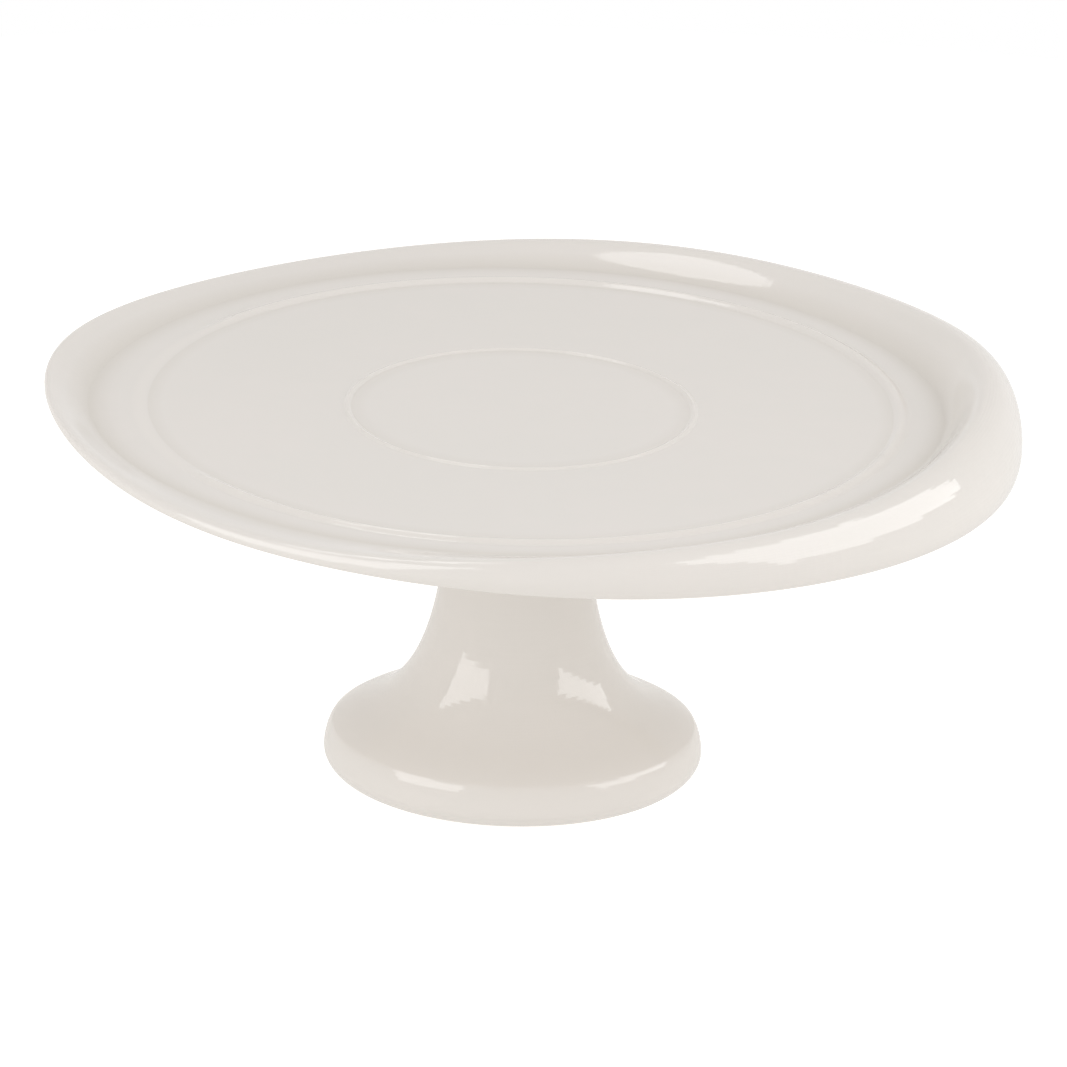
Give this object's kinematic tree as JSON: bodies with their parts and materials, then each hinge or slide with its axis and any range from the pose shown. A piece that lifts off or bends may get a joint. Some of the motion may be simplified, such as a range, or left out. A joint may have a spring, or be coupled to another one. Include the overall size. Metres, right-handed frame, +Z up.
{
  "type": "footed cake stand",
  "caption": "Shallow round serving plate with raised rings and a rim flowing from thin lip to rolled wave, on a hollow flared pedestal.",
  "frame": {"origin": "on the table, under the middle of the plate's outline; the pedestal's own axis is 4 mm from it towards -X", "axes": "+Z up; +X along the plate from its thin lip end to its tall rolled wave end; +Y towards the back, as the two sides mirror each other"},
  "size_m": [0.3212, 0.3188, 0.139],
  "materials": {
    "glaze": "glossy cream-white glaze over a pale body, bare clay on the foot ring",
    "glazed_slip": "slip fillet under the same glaze, slightly softer gloss"
  },
  "bodies": {
    "root": {"serving_plate": "glaze", "pedestal": "glaze", "luting_slip": "glazed_slip"}
  },
  "joints": []
}
